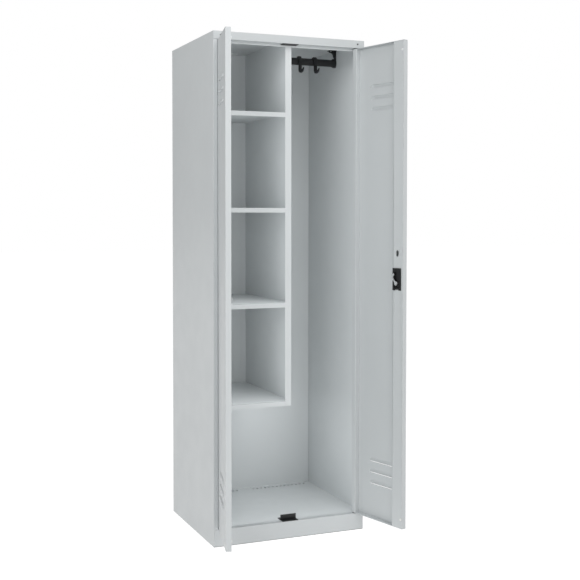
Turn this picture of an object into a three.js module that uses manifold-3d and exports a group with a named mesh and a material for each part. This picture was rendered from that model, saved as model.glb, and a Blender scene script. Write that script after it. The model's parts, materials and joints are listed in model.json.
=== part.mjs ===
// Two-door steel utility locker: shelves on the left, hanging space on the right.
// Millimetres, +Z up. The doors are modelled shut and then swung open about their pivots.
// X is across the cabinet, Y runs from the front plane (0) to the back, Z is height above the floor.
import * as THREE from 'three';
import { mergeVertices } from 'three/addons/utils/BufferGeometryUtils.js';
import Module from 'manifold-3d';

const wasm = await Module();
wasm.setup();

// ---------------------------------------------------------------- driving dimensions
// Carcass
const WIDTH = 600;
const DEPTH = 500;
const HEIGHT = 1850;
const SHEET = 1; // steel sheet
const BEND = 1; // inside radius of every fold in the sheet
const BEND_STEPS = 3; // flats in one fold
const GAP = 0.3; // between pieces that touch
const FASCIA = 29; // height of the strip above the doors
const PLINTH = 62; // height of the strip below the doors, and of the floor
const JAMB = 16.5; // front flange of each side panel
const JAMB_PAST_DOOR = 5.5; // how far the jambs and the ledge run back past the shut doors
const LEDGE_LIP = 9; // lip hanging from the back of the ledge
const REAR_FLANGE = 20; // flanges around the back
const FLOOR_FLANGE = 20; // flange under the plinth
const FLOOR_UPSTAND = 18; // floor edges turned up along the side walls

// Ventilation slots at the rear of the floor and of the ceiling
const SLOT_LENGTH = 12.5;
const SLOT_WIDTH = 11.5;
const SLOT_PITCH = 17.5;
const SLOT_MIDDLE = 60; // blank stretch between the two groups
const SLOT_END = 28; // blank stretch beside each side wall
const SLOT_SETBACK = 26; // from the back panel

// Divider and shelves
const DIVIDER_X = 13; // middle of the divider's web
const DIVIDER_FLANGE = 25;
const SHELF_COUNT = 4;
const SHELF_EDGE = 17; // depth of each shelf's turned-down edge
const LOWEST_SHELF = 505; // top of the lowest shelf
const LOWEST_BAY_EXTRA = 15; // how much taller the bay on the lowest shelf is
const TOP_BAY = 276; // clear height above the highest shelf

// Doors
const DOOR_DEPTH = 19.5;
const DOOR_MEETING = 2; // from each door's free edge to the middle
const DOOR_SIDE = 23; // from each door's hinge edge to the outside of the cabinet
const DOOR_CLEARANCE = 3; // above and below each door
const DOOR_RETURN = 20; // width of the boxed fold on the hinge edge
const CHANNEL_WIDTH = 53; // stiffener along the free edge
const OPEN_CLEARANCE = 0.5; // between an open door and its jamb
const DOOR_OPEN_DEG = 104;

// Louvres pressed out of each door
const LOUVRE_COUNT = 3;
const LOUVRE_LENGTH = 130;
const LOUVRE_END = 18; // length of each rounded end
const LOUVRE_HEIGHT = 16;
const LOUVRE_BULGE = 5.5;
const LOUVRE_PITCH = 42;
const LOUVRE_ASIDE = 7; // their middle from the door's middle, towards the free edge
const LOUVRE_TOP = 154; // from the door's top to the highest louvre's edge
const LOUVRE_BOTTOM = 126; // from the door's bottom to the lowest louvre's edge

// Pivots
const PIN_R = 3;
const PIN_REACH = 12; // how far a pin enters the door
const PIN_HEAD_R = 5;
const PIN_HEAD = 3;
const PIN_PLAY = 0.4;
const WASHER_R = 9;

// Hanging rail and its hooks
const RAIL_DEPTH = 245; // from the front plane
const RAIL_DROP = 51; // ceiling to the rail's middle
const RAIL_TALL = 28;
const RAIL_THICK = 14;
const CUP_WALL = 3;
const CUP_LENGTH = 14;
const BRACKET_ARM = 15;
const BRACKET_PLATE = 3;
const BRACKET_FOOT = 29;
const BRACKET_FOOT_WIDTH = 24;
const GUSSET = 24; // legs of the bracket's web
const GUSSET_THICK = 8;
const GUSSET_EDGE = 5; // its width at the ends of the two legs
const HOOK_WIDTH = 14;
const HOOK_TIP_WIDTH = 6;
const HOOK_THICK = 4.5;
const HOOK_PLAY = 0.8; // between a hook's saddle and the rail
const HOOK_DROP = 32; // shank below the rail
const HOOK_REACH = 34;
const HOOK_BEND = 7; // radius at the foot of the shank
const HOOK_NOSE = 13; // height of the upturned tip
const HOOK_FROM_WALL = 92; // hook nearer the right wall
const HOOK_SPACING = 66;

// Door catches
const CATCH_WIDTH = 62;
const CATCH_DEPTH = 50;
const CATCH_PLATE = 2;
const CATCH_UPRIGHT = 18;
const CATCH_LEG = 3; // height of the shorter leg on the upper catch
const CATCH_SPACE = 3.5; // between a shut door's inner face and the upright
const CATCH_SCREW_X = 18;
const CATCH_SCREW = 5; // shank length of the lower catch's screws

// Lock
const LOCK_HEIGHT = 950; // spindle above the floor
const LOCK_MARGIN = 1; // from the channel's inner edge to the housing
const LOCK_EDGE = 8.5; // from the free edge to the housing
const LOCK_OFFSET = 6.5; // spindle from the middle of the channel, towards the hinge
const LOCK_BELOW = 25; // housing below the spindle
const LOCK_ABOVE = 55; // housing above the spindle
const LOCK_RIM = 1.5;
const LOCK_NECK = 2.5; // part of the rim that lies on the channel
const LOCK_WALL = 7; // from the housing's sides to the pocket for the latch
const POCKET_DEPTH = 5; // below the channel's face
const POCKET_LOW = 9; // from the housing's foot to the pocket
const POCKET_HIGH = 14; // from the pocket to the housing's top
const NOTCH_WIDE = 18; // notch in the housing's foot
const NOTCH_TALL = 6;
const LOCK_SCREWS_APART = 19;
const LOCK_SCREW_DROP = 7.5; // from the housing's top
const LOCK_SCREW = 8; // shank length
const SPINDLE_R = 4;
const SPINDLE_PLAY = 0.5;
const CRANK_R = 14; // rod crank's disc
const CRANK_THROW = 8.5; // crank pins from the spindle
const CRANK_PIN_R = 2;
const CRANK_PLATE = 2;
const CRANK_SPACE = 1; // between the crank's disc and the rods
const LEVER_RISE = 34; // latch lever's tip above the spindle
const LEVER_BULGE = 18; // its bow towards the hinge
const LEVER_BULGE_RISE = 21; // height of that bow above the spindle
const LEVER_TIP = 9; // tip from the spindle, towards the hinge
const LEVER_WIDTH = 7;
const LEVER_THICK = 2;
const LEVER_HUB_R = 8;
const LEVER_SPACE = 0.8; // between the housing and the lever
const ROD_WIDTH = 8;
const ROD_THICK = 2;
const ROD_MARGIN = 17; // middle of the rods from the free edge's wall
const ROD_FRONT = 5.6; // front face of the rods, from the front plane
const ROD_PLAY = 1; // around a rod where it passes through sheet
const FORK_RIM = 3.5; // metal around a crank pin in a rod's fork
const PIN_SLOT_PLAY = 0.6;
const ROD_BRIDGE = 5; // height of the strip that joins the upper rod to its fork
const GUIDE_THICK = 1.5;
const GUIDE_TALL = 12;
const GUIDE_FOOT = 8;
const ESCUTCHEON_LONG = 78;
const ESCUTCHEON_WIDE = 40;
const ESCUTCHEON_THICK = 4;
const BOSS_R = 15; // round foot of the turn knob
const BOSS = 7;
const WING_LONG = 58;
const WING_WIDE = 14;
const WING = 6; // how far the knob's wing stands out from its foot
const KNOB_SOCKET = 4; // depth of the spindle's seat in the knob
const CYLINDER_R = 5;
const CYLINDER_SEAT = 7;
const CYLINDER_PROUD = 1.5;
const KEYWAY_WIDE = 1.4;
const KEYWAY_TALL = 6;
const KEYWAY_DEPTH = 5.5;
const WINDOW_HEIGHT = 1058; // oval window in the channel, above the floor
const WINDOW_TALL = 23;
const WINDOW_WIDE = 12;
const WINDOW_ASIDE = 2; // from the middle of the channel, towards the hinge
const KEEPER_HEIGHT = 910;
const KEEPER_TALL = 19;
const KEEPER_WIDE = 22;
const KEEPER_NOSE = 6; // its raised strip along the free edge
const KEEPER_RISE = 4;

// Small fasteners
const SCREW_R = 1.6;
const SCREW_HEAD_R = 3;
const SCREW_HEAD = 1.2;
const SCREW_MARGIN = 1.5; // from a screw's head to a plate's edge
const PLUG = 4; // shank length
const PLUG_ASIDE = 2; // plug from a pivot's axis, towards the side
const BUMPER_R = 4.5;
const BUMPER_THICK = 2;
const BUMPER_INSET = 34;

// Flats on round pieces; a curve is drawn with twice the steps named here
const ROUND_STEPS = 16;
const ARC_STEPS = 6;
const SMALL_ARC_STEPS = 2;
const SADDLE_STEPS = 8;
const ELBOW_STEPS = 4;
const LEVER_STEPS = 5;
const LOUVRE_STEPS = 4;

// ---------------------------------------------------------------- sizes worked out from those
const halfWidth = WIDTH / 2;
const ceiling = HEIGHT - SHEET;
const jambDepth = DOOR_DEPTH + JAMB_PAST_DOOR;
const ledgeZ = HEIGHT - FASCIA;
const wallInner = halfWidth - SHEET - GAP; // outermost reach of what stands between the side walls
const backFront = DEPTH - 2 * SHEET - GAP; // inner face of the back panel
const doorBottom = PLINTH + DOOR_CLEARANCE;
const doorTop = ledgeZ - DOOR_CLEARANCE;
const doorHinge = halfWidth - DOOR_SIDE;
const openAngle = THREE.MathUtils.degToRad(DOOR_OPEN_DEG);
const pivotY = DOOR_DEPTH / 2;
const pivotX = halfWidth - JAMB - OPEN_CLEARANCE - pivotY * Math.tan(openAngle / 2);
const channelEnd = DOOR_MEETING + CHANNEL_WIDTH;
const shelfPitch = (ceiling - TOP_BAY - LOWEST_SHELF - LOWEST_BAY_EXTRA) / (SHELF_COUNT - 1);
const dividerFoot = LOWEST_SHELF - SHELF_EDGE;
const frontLine = jambDepth + GAP; // front of the divider and the shelves
const dividerLeft = DIVIDER_X + SHEET / 2 - DIVIDER_FLANGE;
const railZ = ceiling - RAIL_DROP;
const railStart = DIVIDER_X + SHEET / 2 + GAP; // where the rail's brackets stand against the divider
const railEnd = wallInner; // and against the right wall
const spindleX = DOOR_MEETING + CHANNEL_WIDTH / 2 + LOCK_OFFSET;
const rodX = DOOR_MEETING + SHEET + ROD_MARGIN;
const rodBack = ROD_FRONT + ROD_THICK;
const lockFront = rodBack + ROD_PLAY + SHEET / 2; // the housing stays clear of the rods
const lockBack = DOOR_DEPTH + GAP + LOCK_RIM;
const lockLeft = DOOR_MEETING + LOCK_EDGE;
const lockRight = channelEnd - LOCK_MARGIN;
const lockLow = LOCK_HEIGHT - LOCK_BELOW;
const lockHigh = LOCK_HEIGHT + LOCK_ABOVE;
const forkReach = CRANK_THROW + FORK_RIM; // from the spindle to the outer side of a rod's fork
const leverFront = lockBack + LEVER_SPACE;
const knobBase = -ESCUTCHEON_THICK - 2 * GAP; // inner face of the turn knob
const knobFace = knobBase - BOSS - WING; // outer face of its wing
const catchBack = DOOR_DEPTH + CATCH_SPACE + CATCH_PLATE; // back of the catches' uprights

// ---------------------------------------------------------------- materials
const steel = (tint) => new THREE.MeshStandardMaterial({ color: tint, roughness: 0.45, metalness: 0.1 });
const lightGrey = steel(0xcfd3d5);
const black = new THREE.MeshStandardMaterial({ color: 0x1c1d1f, roughness: 0.5, metalness: 0 });
const zinc = new THREE.MeshStandardMaterial({ color: 0xb9bbbd, roughness: 0.3, metalness: 0.9 });
const rubber = new THREE.MeshStandardMaterial({ color: 0xe2e3e2, roughness: 0.6, metalness: 0 });

// ---------------------------------------------------------------- shapes
// Points along a strip's middle line, with every inner corner turned into an arc.
function roundedLine(corners, radius) {
  const line = [];
  corners.forEach((corner, i) => {
    const here = new THREE.Vector2(...corner);
    if (i === 0 || i === corners.length - 1) {
      line.push(here);
      return;
    }
    const before = new THREE.Vector2(...corners[i - 1]).sub(here).normalize();
    const after = new THREE.Vector2(...corners[i + 1]).sub(here).normalize();
    const halfAngle = Math.acos(before.dot(after)) / 2;
    const bisector = before.clone().add(after).normalize();
    const centre = bisector.multiplyScalar(radius / Math.sin(halfAngle)).add(here);
    const start = before.multiplyScalar(radius / Math.tan(halfAngle)).add(here).sub(centre);
    const end = after.multiplyScalar(radius / Math.tan(halfAngle)).add(here).sub(centre);
    const turn = Math.atan2(start.cross(end), start.dot(end));
    for (let k = 0; k <= BEND_STEPS; k += 1) {
      line.push(start.clone().rotateAround(new THREE.Vector2(), (turn * k) / BEND_STEPS).add(centre));
    }
  });
  return line;
}

// Points around an arc from one angle to another.
function arcPoints(centre, radius, from, to, steps) {
  return Array.from({ length: steps + 1 }, (_, k) => {
    const angle = from + ((to - from) * k) / steps;
    return new THREE.Vector2(Math.cos(angle), Math.sin(angle)).multiplyScalar(radius).add(centre);
  });
}

// Closed outline of an even band along a line of points.
function band(line, thickness) {
  const left = [];
  const right = [];
  line.forEach((point, i) => {
    const back = line[Math.max(i - 1, 0)];
    const ahead = line[Math.min(i + 1, line.length - 1)];
    const arriving = point.clone().sub(i === 0 ? ahead : back).multiplyScalar(i === 0 ? -1 : 1).normalize();
    const leaving = ahead.clone().sub(point).normalize();
    const along = i === line.length - 1 ? arriving : arriving.clone().add(leaving).normalize();
    const stretch = 1 / along.dot(arriving);
    const aside = new THREE.Vector2(-along.y, along.x).multiplyScalar((thickness / 2) * stretch);
    left.push(point.clone().add(aside));
    right.push(point.clone().sub(aside));
  });
  return new THREE.Shape([...left, ...right.reverse()]);
}

// Closed outline of a bent strip, from the corners of its middle line.
function bentStrip(corners, thickness = SHEET, inside = BEND) {
  return band(roundedLine(corners, inside + thickness / 2), thickness);
}

function extrude(shape, depth, curveSegments = ARC_STEPS) {
  return new THREE.ExtrudeGeometry(shape, { depth, bevelEnabled: false, curveSegments });
}

// Outlines drawn in (x, y), (y, z) and (x, z), pushed along the third axis.
function alongZ(shape, z0, z1) {
  return extrude(shape, z1 - z0).translate(0, 0, z0);
}

function alongX(shape, x0, x1) {
  const turn = new THREE.Matrix4().set(0, 0, 1, 0, 1, 0, 0, 0, 0, 1, 0, 0, 0, 0, 0, 1);
  return extrude(shape, x1 - x0).applyMatrix4(turn).translate(x0, 0, 0);
}

function alongY(shape, y0, y1) {
  return extrude(shape, y1 - y0).rotateX(Math.PI / 2).translate(0, y1, 0);
}

function box(x0, x1, y0, y1, z0, z1) {
  const geometry = new THREE.BoxGeometry(x1 - x0, y1 - y0, z1 - z0);
  return geometry.translate((x0 + x1) / 2, (y0 + y1) / 2, (z0 + z1) / 2);
}

// Round bar whose axis is Z, from z0 to z1.
function roundBar(radius, z0, z1, x = 0, y = 0) {
  const geometry = new THREE.CylinderGeometry(radius, radius, z1 - z0, ROUND_STEPS);
  return geometry.rotateX(Math.PI / 2).translate(x, y, (z0 + z1) / 2);
}

// Round bar whose axis is Y, from y0 to y1.
function crossBar(radius, y0, y1, x, z) {
  const geometry = new THREE.CylinderGeometry(radius, radius, y1 - y0, ROUND_STEPS);
  return geometry.translate(x, (y0 + y1) / 2, z);
}

function slotOutline(x, y, length, width) {
  const shape = new THREE.Shape();
  const radius = width / 2;
  const reach = length / 2 - radius;
  shape.absarc(x + reach, y, radius, -Math.PI / 2, Math.PI / 2);
  shape.absarc(x - reach, y, radius, Math.PI / 2, (3 * Math.PI) / 2);
  return shape;
}

function ellipseOutline(x, y, halfX, halfY) {
  const shape = new THREE.Shape();
  shape.absellipse(x, y, halfX, halfY, 0, 2 * Math.PI);
  return shape;
}

// ---------------------------------------------------------------- joining and cutting
function solid(geometry) {
  const bare = geometry.clone();
  bare.deleteAttribute('normal');
  bare.deleteAttribute('uv');
  const merged = mergeVertices(bare);
  const vertProperties = new Float32Array(merged.attributes.position.array);
  const triVerts = new Uint32Array(merged.index.array);
  return new wasm.Manifold(new wasm.Mesh({ numProp: 3, vertProperties, triVerts }));
}

function surface(body) {
  const { vertProperties, triVerts } = body.getMesh();
  const geometry = new THREE.BufferGeometry();
  geometry.setAttribute('position', new THREE.BufferAttribute(vertProperties, 3));
  geometry.setIndex(new THREE.BufferAttribute(triVerts, 1));
  return geometry;
}

function cut(body, ...tools) {
  return tools.reduce((rest, tool) => rest.subtract(solid(tool)), body);
}

function join(body, ...extras) {
  return extras.reduce((whole, extra) => whole.add(solid(extra)), body);
}

// The same box on both sides of the middle plane, given by its distance from that plane.
function pairOfBoxes(inner, outer, y0, y1, z0, z1) {
  return [box(inner, outer, y0, y1, z0, z1), box(-outer, -inner, y0, y1, z0, z1)];
}

// ---------------------------------------------------------------- assembly helpers
const cabinet = new THREE.Group();

function place(name, shape, material, parent = cabinet) {
  const geometry = shape.isBufferGeometry ? shape : surface(shape);
  geometry.computeVertexNormals();
  const mesh = new THREE.Mesh(geometry, material.clone());
  mesh.name = name;
  parent.add(mesh);
  return mesh;
}

const BEYOND = 5; // how far cutting tools run past what they cut
const LAP = 1; // how far joined shapes run into each other

// ---------------------------------------------------------------- carcass
// A side panel with its folded jamb at the front and its flange at the back.
// The jamb stops short of the fascia and of the plinth, which run the full width.
function sidePanel(side) {
  const middle = SHEET / 2;
  const wall = bentStrip([
    [side * (halfWidth - JAMB + middle), jambDepth],
    [side * (halfWidth - JAMB + middle), middle],
    [side * (halfWidth - middle), middle],
    [side * (halfWidth - middle), DEPTH - middle],
    [side * (halfWidth - REAR_FLANGE), DEPTH - middle],
  ]);
  const low = [-BEYOND, PLINTH + GAP];
  const high = [ledgeZ - GAP, HEIGHT + BEYOND];
  const inside = halfWidth - JAMB - BEYOND;
  const tools = [low, high].flatMap(([z0, z1]) => [
    ...pairOfBoxes(inside, halfWidth + BEYOND, -BEYOND, SHEET + GAP, z0, z1),
    ...pairOfBoxes(inside, halfWidth - SHEET, -BEYOND, jambDepth + BEYOND, z0, z1),
  ]);
  return cut(solid(alongZ(wall, 0, HEIGHT)), ...tools);
}

// Leaves only the front strip of a folded top or base beyond the side walls and rear flanges.
function trimEnds(body, z0, z1) {
  const flangeInner = halfWidth - REAR_FLANGE - GAP;
  return cut(
    body,
    ...pairOfBoxes(wallInner, halfWidth + BEYOND, SHEET, DEPTH + BEYOND, z0, z1),
    ...pairOfBoxes(flangeInner, halfWidth + BEYOND, DEPTH - SHEET - GAP, DEPTH + BEYOND, z0, z1),
  );
}

// One row of ventilation slots, as cutting tools through a level sheet.
function slotTools(z0, z1) {
  const first = SLOT_MIDDLE / 2 + SLOT_LENGTH / 2;
  const last = halfWidth - SHEET - SLOT_END - SLOT_LENGTH / 2;
  const count = Math.floor((last - first) / SLOT_PITCH) + 1;
  const y = backFront - SLOT_SETBACK;
  return [-1, 1].flatMap((side) => Array.from({ length: count }, (_, i) => {
    const x = side * (first + i * SLOT_PITCH);
    const outlineHere = slotOutline(x, y, SLOT_LENGTH, SLOT_WIDTH);
    return extrude(outlineHere, z1 - z0, SMALL_ARC_STEPS).translate(0, 0, z0);
  }));
}

function rodHole(z0, z1) {
  const x0 = rodX - ROD_WIDTH / 2 - ROD_PLAY;
  const x1 = rodX + ROD_WIDTH / 2 + ROD_PLAY;
  return box(x0, x1, ROD_FRONT - ROD_PLAY, rodBack + ROD_PLAY, z0, z1);
}

function pinHoles(z0, z1) {
  return [-1, 1].map((side) => roundBar(PIN_R + PIN_PLAY, z0, z1, side * pivotX, pivotY));
}

// Top, fascia, and the ledge behind the fascia, folded from one sheet.
function topPanel() {
  const middle = SHEET / 2;
  const fold = bentStrip([
    [jambDepth - middle, ledgeZ - LEDGE_LIP],
    [jambDepth - middle, ledgeZ + middle],
    [middle, ledgeZ + middle],
    [middle, HEIGHT - middle],
    [DEPTH - middle, HEIGHT - middle],
    [DEPTH - middle, HEIGHT - REAR_FLANGE],
  ]);
  const sheet = trimEnds(solid(alongX(fold, -halfWidth, halfWidth)), ledgeZ - BEYOND, HEIGHT + BEYOND);
  const lipEnd = halfWidth - JAMB - GAP;
  const lipEnds = pairOfBoxes(lipEnd, halfWidth + BEYOND, -BEYOND, jambDepth + BEYOND, PLINTH, ledgeZ);
  const screws = catchScrewXs().map((x) => roundBar(
    SCREW_R + GAP, ledgeZ - BEYOND, ledgeZ + BEYOND, x, topCatchScrewY(),
  ));
  return cut(
    sheet,
    ...lipEnds,
    ...pinHoles(ledgeZ - BEYOND, ledgeZ + BEYOND),
    ...bracketScrewPoints().map(([x, y]) => roundBar(SCREW_R + GAP, ceiling - BEYOND, HEIGHT + BEYOND, x, y)),
    ...plugXs().map((x) => crossBar(SCREW_R + GAP, -BEYOND, BEYOND, x, plugZ())),
    ...screws,
    rodHole(ledgeZ - LAP, ledgeZ + BEYOND),
    ...slotTools(ceiling - BEYOND, HEIGHT + BEYOND),
  );
}

// Floor and plinth folded from one sheet, with its side edges turned up along the walls.
function basePanel() {
  const middle = SHEET / 2;
  const fold = bentStrip([
    [FLOOR_FLANGE, middle],
    [middle, middle],
    [middle, PLINTH - middle],
    [DEPTH - middle, PLINTH - middle],
    [DEPTH - middle, 0],
  ]);
  const upstands = pairOfBoxes(
    wallInner - SHEET, halfWidth, jambDepth + LAP, backFront - GAP, PLINTH - SHEET / 2, PLINTH + FLOOR_UPSTAND,
  );
  const sheet = join(solid(alongX(fold, -halfWidth, halfWidth)), ...upstands);
  return cut(
    trimEnds(sheet, -BEYOND, HEIGHT),
    ...pinHoles(PLINTH - BEYOND, PLINTH + BEYOND),
    ...catchScrewXs().map((x) => roundBar(
      SCREW_R + GAP, PLINTH - BEYOND, PLINTH + BEYOND, x, bottomCatchScrewY(),
    )),
    rodHole(PLINTH - BEYOND, PLINTH + BEYOND),
    ...slotTools(PLINTH - BEYOND, PLINTH + BEYOND),
  );
}

function backPanel() {
  const reach = wallInner - BEND;
  return box(-reach, reach, backFront, backFront + SHEET, PLINTH + GAP, ceiling - GAP - BEND);
}

// ---------------------------------------------------------------- divider and shelves
function dividerPanel() {
  const middle = SHEET / 2;
  const fold = bentStrip([
    [dividerLeft, frontLine + middle],
    [DIVIDER_X, frontLine + middle],
    [DIVIDER_X, backFront - GAP - middle],
    [dividerLeft, backFront - GAP - middle],
  ]);
  return solid(alongZ(fold, dividerFoot, ceiling - GAP));
}

function shelf(top) {
  const middle = SHEET / 2;
  const back = backFront - 2 * GAP - SHEET - BEND;
  const right = DIVIDER_X - middle - GAP;
  const low = top - SHELF_EDGE;
  const fold = bentStrip([
    [frontLine + middle, low],
    [frontLine + middle, top - middle],
    [back - middle, top - middle],
    [back - middle, low],
  ]);
  const pan = solid(alongX(fold, -wallInner - BEYOND, right + BEYOND));
  const edgeSpans = [[-wallInner - BEYOND, SHEET - wallInner], [right - SHEET, right + BEYOND]];
  const sideEdges = edgeSpans.map(([x0, x1]) => box(
    x0, x1, frontLine + SHEET / 2, back - SHEET / 2, low, top - SHEET / 2,
  ));
  const ends = [[-halfWidth - BEYOND, -wallInner], [right, right + 2 * BEYOND]].map(([x0, x1]) => box(
    x0, x1, -BEYOND, DEPTH, low - BEYOND, top + BEYOND,
  ));
  const flangeBack = frontLine + 2 * SHEET + GAP;
  const dividerNotch = box(
    dividerLeft - GAP, right + BEYOND, frontLine - BEYOND, flangeBack, low - BEYOND, top + BEYOND,
  );
  return cut(join(pan, ...sideEdges), ...ends, dividerNotch);
}

// ---------------------------------------------------------------- small hardware
// Pan-head screw pointing down, with the underside of its head at the origin.
function screwGeometry(shank) {
  const crown = SCREW_HEAD / 2;
  const profile = [
    [0, -shank], [SCREW_R, -shank], [SCREW_R, 0], [SCREW_HEAD_R, 0],
    [SCREW_HEAD_R, SCREW_HEAD - crown], [SCREW_HEAD_R - crown, SCREW_HEAD], [0, SCREW_HEAD],
  ];
  const points = profile.map(([r, z]) => new THREE.Vector2(r, z));
  return new THREE.LatheGeometry(points, ROUND_STEPS).rotateX(Math.PI / 2);
}

function washer(z0, z1) {
  const bore = PIN_R + PIN_PLAY;
  const shape = ellipseOutline(0, 0, WASHER_R, WASHER_R);
  shape.holes.push(ellipseOutline(0, 0, bore, bore));
  return extrude(shape, z1 - z0, ROUND_STEPS / 2).translate(0, 0, z0);
}

function pivotPin(side, headZ, tipZ) {
  const away = Math.sign(tipZ - headZ);
  const headEnd = headZ - away * PIN_HEAD;
  const foot = headZ - away * LAP;
  const head = roundBar(PIN_HEAD_R, Math.min(headZ, headEnd), Math.max(headZ, headEnd));
  const shank = roundBar(PIN_R, Math.min(foot, tipZ), Math.max(foot, tipZ));
  return surface(join(solid(head), shank)).translate(side * pivotX, pivotY, 0);
}

function addPivots() {
  for (const [word, side] of [['left', -1], ['right', 1]]) {
    const lower = place(`${word}_lower_washer`, washer(PLINTH + GAP, doorBottom - GAP), black);
    const upper = place(`${word}_upper_washer`, washer(doorTop + GAP, ledgeZ - GAP), black);
    lower.position.set(side * pivotX, pivotY, 0);
    upper.position.set(side * pivotX, pivotY, 0);
    place(`${word}_lower_pin`, pivotPin(side, PLINTH - SHEET - GAP, doorBottom + PIN_REACH), zinc);
    place(`${word}_upper_pin`, pivotPin(side, ledgeZ + SHEET + GAP, doorTop - PIN_REACH), zinc);
  }
}

function plugXs() {
  return [-pivotX - PLUG_ASIDE, pivotX + PLUG_ASIDE];
}

function plugZ() {
  return ledgeZ + FASCIA / 2;
}

function addPlugs() {
  plugXs().forEach((x, i) => {
    const plug = place(`fascia_plug_${i === 0 ? 'left' : 'right'}`, screwGeometry(PLUG), black);
    plug.rotation.x = Math.PI / 2;
    plug.position.set(x, -GAP, plugZ());
  });
}

// ---------------------------------------------------------------- catches
function catchScrewXs() {
  return [-CATCH_SCREW_X, CATCH_SCREW_X];
}

function bottomCatchScrewY() {
  return (catchBack + CATCH_DEPTH) / 2;
}

function topCatchScrewY() {
  return rodBack + ROD_PLAY + SCREW_HEAD_R + SCREW_MARGIN;
}

// Foot plate on the floor with an upright that the shut doors close against.
function bottomCatch() {
  const half = CATCH_WIDTH / 2;
  const z0 = PLINTH + GAP;
  const profile = bentStrip([
    [SHEET, z0 + CATCH_PLATE / 2],
    [CATCH_DEPTH, z0 + CATCH_PLATE / 2],
  ], CATCH_PLATE);
  const uprightTop = z0 + CATCH_PLATE + CATCH_UPRIGHT;
  const upright = box(-half, half, catchBack - CATCH_PLATE, catchBack, z0 + LAP, uprightTop);
  const plate = join(solid(alongX(profile, -half, half)), upright);
  return cut(
    plate,
    rodHole(z0 - LAP, z0 + CATCH_PLATE + LAP),
    ...catchScrewXs().map((x) => roundBar(SCREW_R + GAP, z0 - LAP, z0 + BEYOND, x, bottomCatchScrewY())),
  );
}

// The catch under the ledge: a plate with a short leg in front of the ledge's lip.
function topCatch() {
  const half = CATCH_WIDTH / 2;
  const z1 = ledgeZ - GAP;
  const legMiddle = jambDepth - SHEET - GAP - CATCH_PLATE / 2;
  const profile = bentStrip([
    [SHEET, z1 - CATCH_PLATE / 2],
    [legMiddle, z1 - CATCH_PLATE / 2],
    [legMiddle, z1 - CATCH_LEG],
  ], CATCH_PLATE, CATCH_PLATE / 4);
  return cut(
    solid(alongX(profile, -half, half)),
    rodHole(z1 - BEYOND, z1 + BEYOND),
    ...catchScrewXs().map((x) => roundBar(SCREW_R + GAP, z1 - BEYOND, z1 + BEYOND, x, topCatchScrewY())),
  );
}

function addCatches() {
  place('bottom_catch', bottomCatch(), black);
  place('top_catch', topCatch(), black);
  catchScrewXs().forEach((x, i) => {
    const low = place(`bottom_catch_screw_${i + 1}`, screwGeometry(CATCH_SCREW), zinc);
    low.position.set(x, bottomCatchScrewY(), PLINTH + CATCH_PLATE + 2 * GAP);
    const high = place(`top_catch_screw_${i + 1}`, screwGeometry(SHEET + CATCH_PLATE + GAP), zinc);
    high.position.set(x, topCatchScrewY(), ledgeZ + SHEET + GAP);
  });
}

// ---------------------------------------------------------------- hanging rail
function hangingRail() {
  const bar = ellipseOutline(RAIL_DEPTH, railZ, RAIL_THICK / 2, RAIL_TALL / 2);
  const inset = BRACKET_PLATE + GAP;
  return alongX(bar, railStart + inset, railEnd - inset);
}

// Bracket hanging from the ceiling: foot, arm against the wall, gusset, and a cup around the rail.
function railBracket(wallX, inward) {
  const armBack = wallX + inward * BRACKET_PLATE;
  const footEnd = wallX + inward * BRACKET_FOOT;
  const cupEnd = wallX + inward * CUP_LENGTH;
  const top = ceiling - GAP;
  const halfArm = BRACKET_ARM / 2;
  const span = (a, b) => [Math.min(a, b), Math.max(a, b)];
  const y = [RAIL_DEPTH - halfArm, RAIL_DEPTH + halfArm];
  const halfFoot = BRACKET_FOOT_WIDTH / 2;
  const foot = box(
    ...span(wallX, footEnd), RAIL_DEPTH - halfFoot, RAIL_DEPTH + halfFoot, top - BRACKET_PLATE, top,
  );
  const arm = box(...span(wallX, armBack), ...y, railZ, top - LAP);
  const seat = top - BRACKET_PLATE;
  const inner = armBack + inward * GUSSET_EDGE;
  const gusset = new THREE.Shape();
  gusset.moveTo(wallX + inward * LAP, top - LAP);
  gusset.lineTo(armBack + inward * GUSSET, top - LAP);
  gusset.lineTo(armBack + inward * GUSSET, seat - GUSSET_EDGE);
  gusset.quadraticCurveTo(inner, seat - GUSSET_EDGE, inner, seat - GUSSET);
  gusset.lineTo(wallX + inward * LAP, seat - GUSSET);
  const web = alongY(gusset, RAIL_DEPTH - GUSSET_THICK / 2, RAIL_DEPTH + GUSSET_THICK / 2);
  const cupOutline = ellipseOutline(
    RAIL_DEPTH, railZ, RAIL_THICK / 2 + GAP + CUP_WALL, RAIL_TALL / 2 + GAP + CUP_WALL,
  );
  const cup = alongX(cupOutline, ...span(wallX, cupEnd));
  const bore = alongX(
    ellipseOutline(RAIL_DEPTH, railZ, RAIL_THICK / 2 + GAP, RAIL_TALL / 2 + GAP),
    ...span(armBack, cupEnd + inward * BEYOND),
  );
  const screws = bracketScrewPoints().map(([x, depth]) => roundBar(
    SCREW_R + GAP, top - BEYOND, top + BEYOND, x, depth,
  ));
  return cut(join(solid(foot), arm, web, cup), bore, ...screws);
}

// Screws through the feet of the two brackets, as [x, y] points.
function bracketScrewPoints() {
  const along = BRACKET_FOOT - 2 * SCREW_HEAD_R;
  const aside = BRACKET_FOOT_WIDTH / 2 - SCREW_HEAD_R - SCREW_MARGIN;
  return [[railStart, 1], [railEnd, -1]].flatMap(([wallX, inward]) => [
    [wallX + inward * along, RAIL_DEPTH - aside],
    [wallX + inward * along, RAIL_DEPTH + aside],
  ]);
}

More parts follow.
